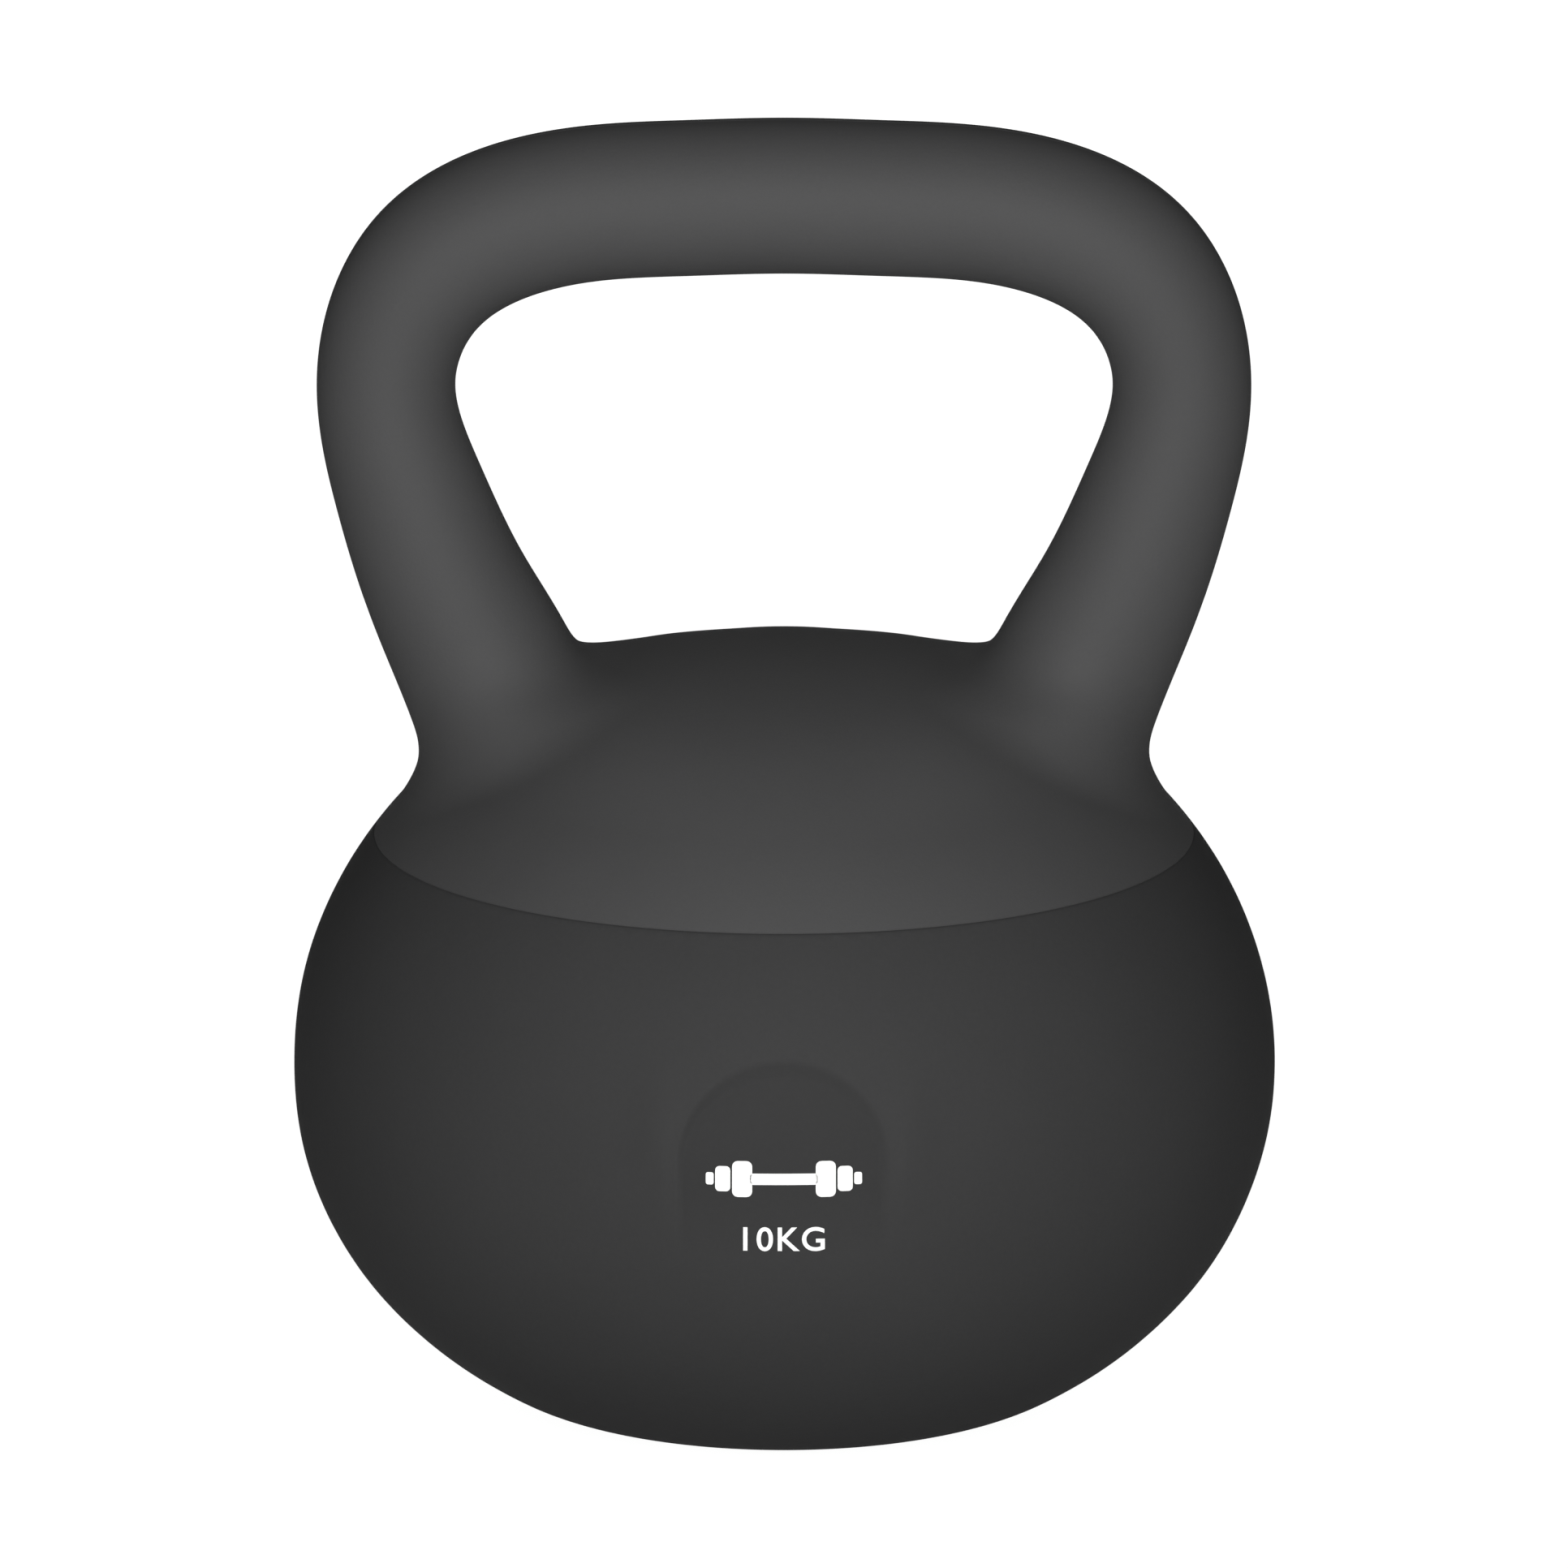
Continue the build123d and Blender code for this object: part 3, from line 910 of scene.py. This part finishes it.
def makeSkin():
    look = skinLook
    count = look["around"]
    turns = ringTurns()
    around = 2 * math.pi * np.arange(count) / count
    spin, turn = np.meshgrid(around, turns)
    spin, turn = spin.ravel(), turn.ravel()
    ways = np.stack([np.sin(turn) * np.cos(spin), -np.cos(turn), np.sin(turn) * np.sin(spin)], axis=1)
    ways = np.concatenate([[(0, -1, 0)], ways, [(0, 1, 0)]])
    points = onSkin(ways * ballRadius * 0.95 + (0, 0, recess["height"]), 0)
    faces = [(0, 1 + (i + 1) % count, 1 + i) for i in range(count)]
    for ring in range(len(turns) - 1):
        a, b = 1 + ring * count, 1 + (ring + 1) * count
        faces += [(a + i, a + (i + 1) % count, b + (i + 1) % count, b + i) for i in range(count)]
    last = 1 + (len(turns) - 1) * count
    faces += [(last + i, last + (i + 1) % count, len(points) - 1) for i in range(count)]
    skin = meshFrom("ballSkin", points, faces)

    form, border = cutAtJoint(skin, seamHeight - look["lip"], 1, look["mergeGap"])
    s = ballShape
    steps = [(ballRadiusAt(seamHeight) - look["lipShare"] * look["lip"], seamHeight)]
    start = math.asin((seamHeight - s["equatorHeight"]) / (s["crownRise"] - look["wall"]))
    end = -math.asin((s["equatorHeight"] - look["floor"]) / (s["bellyDrop"] - look["wall"]))
    for i in range(look["innerSteps"] + 1):
        turn = start + (end - start) * i / look["innerSteps"]
        reach = (s["crownRise"] if turn > 0 else s["bellyDrop"]) - look["wall"]
        height = s["equatorHeight"] + reach * math.sin(turn)
        steps.append((ballRadiusAt(height, look["wall"]), height))
    steps += [(look["neckRadius"], look["floor"]), (look["neckRadius"], look["neckHeight"])]
    closeInside(form, skin, border, steps, look["neckHeight"])

    seat, port = look["seatRadius"], look["portRadius"]
    low, high = -look["spare"], look["neckHeight"] + look["spare"]
    outline = [(0, low), (seat, low), (seat, look["seatHeight"]), (port, look["seatHeight"])]
    outline += [(port, high), (0, high)]
    cutter = newObject("portCutter", meshFrom("portCutter", *lathe(outline, look["portSides"])))
    block = newObject("skinBlock", skin)
    cutting = block.modifiers.new("port", "BOOLEAN")
    cutting.operation = "DIFFERENCE"
    cutting.solver = "EXACT"
    cutting.object = cutter
    mesh = frozen(block, "ballSkin")
    dropObject(block)
    dropObject(cutter)
    inFixedOrder(mesh)
    smoothShade(mesh, look["sharpDegrees"])
    places = readPoints(mesh)
    deep = recessDepth(places[:, 0], places[:, 2] - recess["height"]) / recess["depth"]
    # painted shade: the mask is strongest where the recess is deepest, and darkens the skin's colour there
    paintedShadeMask = np.where(places[:, 1] < -0.5 * ballRadius, np.clip(look["paintedShadeContrast"] * deep, 0, 1), 0)
    mesh.attributes.new("paintedRecessShade", "FLOAT", "POINT").data.foreach_set("value", paintedShadeMask.astype(np.float32))
    mesh.materials.clear()
    mesh.materials.append(softSkinVinyl)
    return newObject("ballSkin", mesh)


skinPiece = makeSkin()
finishPiece(skinPiece, ["ball_skin"])
print("ball skin:", len(skinPiece.data.polygons), "faces")


# the print on the skin: a dumbbell sign, and the weight under it

printShape = {
    "signHeight": 75.5 * mm,
    "signWidth": 33.0 * mm,
    "textHeight": 62.3 * mm,
    "textWidth": 17.2 * mm,
    "textTall": 5.4 * mm,
    "text": "10KG",
    "boldness": 0.011,
    "spacing": 1.10,
    "ink": 0.07 * mm,
    "sunk": 0.03 * mm,  # how far the ink reaches into the skin
    "slice": 1.0 * mm,
    "mergeGap": 0.001 * mm,
    "cornerShare": 0.28,
    "cornerSteps": 4,
    "sharpDegrees": 40,
}
# the sign's bars from left to middle: (middle across, width, height), as shares of its width
signBars = [(-0.475, 0.050, 0.080), (-0.392, 0.096, 0.165), (-0.268, 0.128, 0.236), (0, 0.44, 0.074)]


def roundedBar(form, across, width, height, corner):
    places = []
    for sx, sy, start in ((1, 1, 0), (-1, 1, 90), (-1, -1, 180), (1, -1, 270)):
        for i in range(printShape["cornerSteps"] + 1):
            turn = math.radians(start + 90 * i / printShape["cornerSteps"])
            x = across + sx * (width / 2 - corner) + corner * math.cos(turn)
            y = sy * (height / 2 - corner) + corner * math.sin(turn)
            places.append(form.verts.new((x, y, 0)))
    form.faces.new(places)


def signMesh():
    form = bmesh.new()
    wide = printShape["signWidth"]
    for across, width, height in signBars:
        corner = min(width, height) * wide * printShape["cornerShare"]
        for side in (1, -1) if across else (1,):
            roundedBar(form, side * across * wide, width * wide, height * wide, corner)
    mesh = bpy.data.meshes.new("sign")
    form.to_mesh(mesh)
    form.free()
    return mesh


def textMesh():
    words = bpy.data.curves.new("weightText", "FONT")
    words.body = printShape["text"]
    words.resolution_u = 6
    words.offset = printShape["boldness"]
    words.space_character = printShape["spacing"]
    holder = newObject("weightText", words)
    mesh = frozen(holder, "weightText")
    bpy.data.objects.remove(holder)
    bpy.data.curves.remove(words)
    points = readPoints(mesh)
    low, high = points.min(0), points.max(0)
    size = (high - low)[:2]
    points = points - (low + high) / 2
    points[:, 0] *= printShape["textWidth"] / size[0]
    points[:, 1] *= printShape["textTall"] / size[1]
    writePoints(mesh, points)
    return mesh


def printed(flat, height):
    # a flat shape cut into small squares, laid on the skin and given its thickness of ink
    form = bmesh.new()
    form.from_mesh(flat)
    bpy.data.meshes.remove(flat)
    bmesh.ops.remove_doubles(form, verts=form.verts[:], dist=printShape["mergeGap"])
    reach = printShape["signWidth"]
    for axis in range(2):
        for i in range(int(reach / printShape["slice"]) + 1):
            place = [0, 0, 0]
            place[axis] = -reach / 2 + i * printShape["slice"]
            way = [1 if k == axis else 0 for k in range(3)]
            geom = form.verts[:] + form.edges[:] + form.faces[:]
            bmesh.ops.bisect_plane(form, geom=geom, plane_co=place, plane_no=way)
    raised = bmesh.ops.extrude_face_region(form, geom=form.faces[:])
    for item in raised["geom"]:
        if isinstance(item, bmesh.types.BMVert):
            item.co.z = 1
    # a point's third value is 1 on the outer side of the ink and 0 on the skin's side
    spots = np.array([v.co for v in form.verts])
    front = np.full(len(spots), -0.95 * ballRadius)
    starts = np.stack([spots[:, 0], front, height + spots[:, 1]], axis=1)
    places = onPrint(starts, spots[:, 2] * printShape["ink"] - printShape["sunk"])
    for vert, place in zip(form.verts, places):
        vert.co = place
    bmesh.ops.dissolve_degenerate(form, edges=form.edges[:], dist=printShape["mergeGap"])
    bmesh.ops.recalc_face_normals(form, faces=form.faces[:])
    mesh = bpy.data.meshes.new("inkPart")
    form.to_mesh(mesh)
    form.free()
    return mesh


def onPrint(starts, lift):
    # straight back onto the skin from the front, so that the print keeps its outline
    y = starts[:, 1].copy()
    for _ in range(12):
        places = np.stack([starts[:, 0], y, starts[:, 2]], axis=1)
        distance, out = skinField(places)
        y = y - distance / np.minimum(out[:, 1], -0.5)
    places = np.stack([starts[:, 0], y, starts[:, 2]], axis=1)
    return onSkin(places, lift)


def makePrint():
    form = bmesh.new()
    for flat, height in ((signMesh(), printShape["signHeight"]), (textMesh(), printShape["textHeight"])):
        part = printed(flat, height)
        form.from_mesh(part)
        bpy.data.meshes.remove(part)
    mesh = bpy.data.meshes.new("skinPrint")
    form.to_mesh(mesh)
    form.free()
    inFixedOrder(mesh)
    smoothShade(mesh, printShape["sharpDegrees"])
    mesh.materials.append(whitePrint)
    return newObject("skinPrint", mesh)


printPiece = makePrint()
finishPiece(printPiece)
print("print:", len(printPiece.data.polygons), "faces")


cameraLook = {"distance": 12.0, "elevation": 14.0, "aimHeight": 0.1354, "frameWidth": 0.3321}
lightLook = {
    "keyPower": 30.0, "keySize": 0.5, "keyDistance": 1.6, "keyElevation": 19.0,
    "backPower": 14.0, "backSize": 0.6, "backElevation": 4.0,
    "surround": 0.10, "backdrop": 1.0,
}
floorLook = {
    "halfSize": 4.0, "color": (0.75, 0.75, 0.75), "roughness": 0.9, "gloss": 0.1,
    "glow": 1.16, "glowShare": 0.85,
}


def towards(azimuth, elevation, distance, aim):
    a, e = math.radians(azimuth), math.radians(elevation)
    way = Vector((math.sin(a) * math.cos(e), -math.cos(a) * math.cos(e), math.sin(e)))
    return Vector(aim) + way * distance


def pointAt(thing, aim):
    thing.rotation_euler = (Vector(aim) - thing.location).to_track_quat("-Z", "Y").to_euler()


def areaLight(name, power, size, place, aim):
    lamp = bpy.data.lights.new(name, "AREA")
    lamp.energy = power
    lamp.shape = "DISK"
    lamp.size = size
    thing = newObject(name, lamp)
    thing.location = place
    pointAt(thing, aim)
    return thing


aim = (0, 0, cameraLook["aimHeight"])
camera = bpy.data.cameras.new("camera")
camera.sensor_width = 36.0
camera.lens = camera.sensor_width * cameraLook["distance"] / cameraLook["frameWidth"]
camera.clip_end = 100.0
eye = newObject("camera", camera)
eye.location = towards(0, cameraLook["elevation"], cameraLook["distance"], aim)
pointAt(eye, aim)
bpy.context.scene.camera = eye

keyPlace = towards(0, lightLook["keyElevation"], lightLook["keyDistance"], aim)
areaLight("keyLight", lightLook["keyPower"], lightLook["keySize"], keyPlace, aim)
# a low light behind shows the back and leaves the front as it is
backPlace = towards(180, lightLook["backElevation"], lightLook["keyDistance"], aim)
backLight = areaLight("backLight", lightLook["backPower"], lightLook["backSize"], backPlace, aim)
backLight.visible_camera = False
backLight.visible_glossy = False


def makeSurround():
    # even light from all round, and a near-white backdrop for the camera alone
    world = bpy.data.worlds.new("studio")
    bpy.context.scene.world = world
    world.use_nodes = True
    nodes, link = world.node_tree.nodes, world.node_tree.links.new
    nodes.clear()
    path = nodes.new("ShaderNodeLightPath")
    surround, backdrop = nodes.new("ShaderNodeBackground"), nodes.new("ShaderNodeBackground")
    surround.inputs["Strength"].default_value = lightLook["surround"]
    backdrop.inputs["Strength"].default_value = lightLook["backdrop"]
    choose, result = nodes.new("ShaderNodeMixShader"), nodes.new("ShaderNodeOutputWorld")
    link(path.outputs["Is Camera Ray"], choose.inputs[0])
    link(surround.outputs[0], choose.inputs[1])
    link(backdrop.outputs[0], choose.inputs[2])
    link(choose.outputs[0], result.inputs[0])


makeSurround()


def makeFloor():
    half = floorLook["halfSize"]
    points = [(-half, -half, 0), (half, -half, 0), (half, half, 0), (-half, half, 0)]
    mesh = meshFrom("floor", points, [(0, 1, 2, 3)])
    material, add, link, shader = newMaterial("paleFloor")
    shader.inputs["Base Color"].default_value = (*floorLook["color"], 1)
    shader.inputs["Roughness"].default_value = floorLook["roughness"]
    shader.inputs["Specular IOR Level"].default_value = floorLook["gloss"]
    # the camera sees the floor almost white, with only a trace of the shadow
    path, share = add("ShaderNodeLightPath"), add("ShaderNodeMath")
    glow, both = add("ShaderNodeEmission"), add("ShaderNodeMixShader")
    share.operation = "MULTIPLY"
    share.inputs[1].default_value = floorLook["glowShare"]
    glow.inputs["Strength"].default_value = floorLook["glow"]
    result = next(n for n in material.node_tree.nodes if n.type == "OUTPUT_MATERIAL")
    link(path.outputs["Is Camera Ray"], share.inputs[0])
    link(share.outputs[0], both.inputs[0])
    link(shader.outputs[0], both.inputs[1])
    link(glow.outputs[0], both.inputs[2])
    link(both.outputs[0], result.inputs["Surface"])
    mesh.materials.append(material)
    newObject("floor", mesh)


makeFloor()
scene = bpy.context.scene
scene.view_settings.view_transform = "Standard"
scene.view_settings.look = "None"
